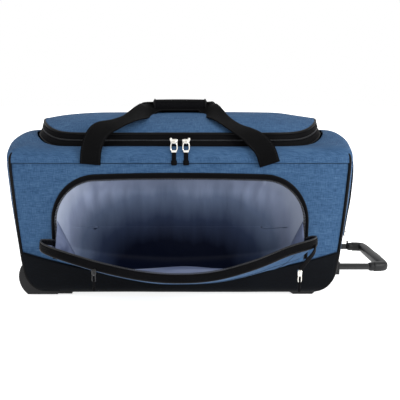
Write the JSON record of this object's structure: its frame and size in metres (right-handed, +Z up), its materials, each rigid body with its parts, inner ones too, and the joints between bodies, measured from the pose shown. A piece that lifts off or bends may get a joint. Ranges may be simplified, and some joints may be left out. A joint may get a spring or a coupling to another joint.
{
  "type": "rolling duffel bag",
  "caption": "Soft rolling duffel bag with a zipped top lid, twin carry straps, an open drop-front pocket, inline wheels at one end and a pull-out handle.",
  "frame": {"origin": "middle of the underside, on the floor plane, at the foot of the centre wear rail", "axes": "+X along the bag towards the pull-out handle, -Y the front with the pocket, +Z up"},
  "size_m": [0.8285, 0.53, 0.399],
  "materials": {
    "shell_fabric": "heather woven polyester",
    "base_fabric": "coated black polyester",
    "lining": "shiny nylon taffeta",
    "piping": "soft black vinyl cord",
    "webbing": "black nylon webbing",
    "wrap": "padded black fabric",
    "zip_metal": "nickel plated",
    "pull_cord": "black cord",
    "zip_coil": "nylon coil",
    "zip_tape": "woven tape",
    "wheel_rubber": "matt",
    "wheel_plastic": "satin",
    "steel": "bright zinc",
    "tube_alloy": "drawn",
    "tube_black": "gloss black",
    "grip_plastic": "fine grain",
    "button_plastic": "satin",
    "board": "sheet",
    "moulding": "fine grain"
  },
  "bodies": {
    "root": {"base_panel": "base_fabric", "front_panel": "shell_fabric", "back_panel": "shell_fabric", "left_end_panel": "shell_fabric", "right_end_panel": "shell_fabric", "top_yoke": "shell_fabric", "front_piping": "piping", "back_piping": "piping", "base_board": "board", "pocket_lining": "lining", "pocket_gussets": "lining", "pocket_zip_tape": "zip_tape", "body_zip_tape": "zip_tape", "zip_coil": "zip_coil", "end_pocket": "shell_fabric", "end_pocket_zip": "zip_tape", "wheel_housing_front": "moulding", "wheel_housing_back": "moulding", "axle_front": "steel", "axle_back": "steel", "skid_rails": "moulding", "corner_foot_front": "moulding", "corner_foot_back": "moulding", "housing_screws": "steel", "tube_brackets": "moulding", "outer_tubes": "tube_alloy", "handle_bezel": "moulding"},
    "lid": {"lid": "shell_fabric", "lid_zip_tape": "zip_tape", "lid_piping": "piping"},
    "front_strap": {"front_strap": "webbing", "grip_wrap": "wrap"},
    "back_strap": {"back_strap": "webbing"},
    "pocket_flap": {"pocket_flap": "shell_fabric", "flap_zip_tape": "zip_tape"},
    "wheel_front": {"wheel_hub_front": "wheel_plastic", "tyre_front": "wheel_rubber"},
    "wheel_back": {"wheel_hub_back": "wheel_plastic", "tyre_back": "wheel_rubber"},
    "trolley": {"inner_tubes": "tube_black", "handle_grip": "grip_plastic", "button_spring": "steel"},
    "release": {"release_button": "button_plastic", "push_rods": "steel"},
    "lock_pins": {"lock_pins": "steel"},
    "main_slider_left": {"main_slider_left": "zip_metal"},
    "main_slider_right": {"main_slider_right": "zip_metal"},
    "main_pull_left": {"main_pull_left": "pull_cord"},
    "main_pull_right": {"main_pull_right": "pull_cord"},
    "flap_slider_left": {"flap_slider_left": "zip_metal"},
    "flap_slider_right": {"flap_slider_right": "zip_metal"},
    "flap_pull_left": {"flap_pull_left": "pull_cord"},
    "flap_pull_right": {"flap_pull_right": "pull_cord"},
    "end_slider": {"end_slider": "zip_metal"},
    "end_pull": {"end_pull": "pull_cord"}
  },
  "joints": [
    {"name": "lid_hinge", "type": "hinge", "parent": "root", "child": "lid", "pos_m": [0, 0.134, 0.336], "axis": [-1, 0, 0], "range_deg": [0, 78]},
    {"name": "front_strap_fold", "type": "hinge", "parent": "root", "child": "front_strap", "pos_m": [0, -0.169, 0.268], "axis": [1, 0, 0], "range_deg": [0, 150]},
    {"name": "back_strap_fold", "type": "hinge", "parent": "root", "child": "back_strap", "pos_m": [0, 0.169, 0.268], "axis": [-1, 0, 0], "range_deg": [0, 150]},
    {"name": "main_zip_left", "type": "slide", "parent": "root", "child": "main_slider_left", "axis": [-1, 0, 0], "range_m": [0, 0.105]},
    {"name": "main_zip_right", "type": "slide", "parent": "root", "child": "main_slider_right", "axis": [1, 0, 0], "range_m": [0, 0.105]},
    {"name": "main_pull_left_swing", "type": "hinge", "parent": "main_slider_left", "child": "main_pull_left", "pos_m": [-0.012, -0.162, 0.316], "axis": [-1, 0, 0], "range_deg": [0, 100]},
    {"name": "main_pull_right_swing", "type": "hinge", "parent": "main_slider_right", "child": "main_pull_right", "pos_m": [0.012, -0.162, 0.316], "axis": [-1, 0, 0], "range_deg": [0, 100]},
    {"name": "pocket_flap_hinge", "type": "hinge", "parent": "root", "child": "pocket_flap", "pos_m": [0, -0.17, 0.046], "axis": [-1, 0, 0], "range_deg": [0, 67], "deforming": ["pocket_gussets"]},
    {"name": "flap_zip_left", "type": "slide", "parent": "pocket_flap", "child": "flap_slider_left", "axis": [1, 0, 0], "range_m": [0, 0.27]},
    {"name": "flap_zip_right", "type": "slide", "parent": "pocket_flap", "child": "flap_slider_right", "axis": [-1, 0, 0], "range_m": [0, 0.07]},
    {"name": "flap_pull_left_swing", "type": "hinge", "parent": "flap_slider_left", "child": "flap_pull_left", "pos_m": [-0.15, -0.35253, 0.10041], "axis": [-1, 0, 0], "range_deg": [-30, 60]},
    {"name": "flap_pull_right_swing", "type": "hinge", "parent": "flap_slider_right", "child": "flap_pull_right", "pos_m": [0.211, -0.33955, 0.09517], "axis": [-1, 0, 0], "range_deg": [-30, 60]},
    {"name": "end_zip", "type": "slide", "parent": "root", "child": "end_slider", "axis": [0, 0, 1], "range_m": [0, 0.09]},
    {"name": "end_pull_swing", "type": "hinge", "parent": "end_slider", "child": "end_pull", "pos_m": [0.3755, -0.1345, 0.119], "axis": [0, -1, 0], "range_deg": [0, 80]},
    {"name": "wheel_front_spin", "type": "hinge", "parent": "root", "child": "wheel_front", "pos_m": [-0.284, -0.128, 0.036], "axis": [0, 1, 0], "continuous": true},
    {"name": "wheel_back_spin", "type": "hinge", "parent": "root", "child": "wheel_back", "pos_m": [-0.284, 0.128, 0.036], "axis": [0, 1, 0], "continuous": true},
    {"name": "trolley_slide", "type": "slide", "parent": "root", "child": "trolley", "axis": [1, 0, 0], "range_m": [-0.05, 0.36]},
    {"name": "release_press", "type": "slide", "parent": "trolley", "child": "release", "axis": [-1, 0, 0], "range_m": [0, 0.004], "stiffness_N_per_m": 900, "springref_m": -0.002, "deforming": ["button_spring"]},
    {"name": "lock_pin_travel", "type": "slide", "parent": "trolley", "child": "lock_pins", "axis": [0, 0, -1], "range_m": [0, 0.002]}
  ],
  "couplings": [
    {"joint": "front_strap_fold", "follows": "lid_hinge", "ratio": 1.9},
    {"joint": "back_strap_fold", "follows": "lid_hinge", "ratio": 1.9},
    {"joint": "main_zip_left", "follows": "lid_hinge", "m_per_rad": 0.067},
    {"joint": "main_zip_right", "follows": "lid_hinge", "m_per_rad": 0.067},
    {"joint": "lock_pin_travel", "follows": "release_press", "ratio": 0.4}
  ]
}
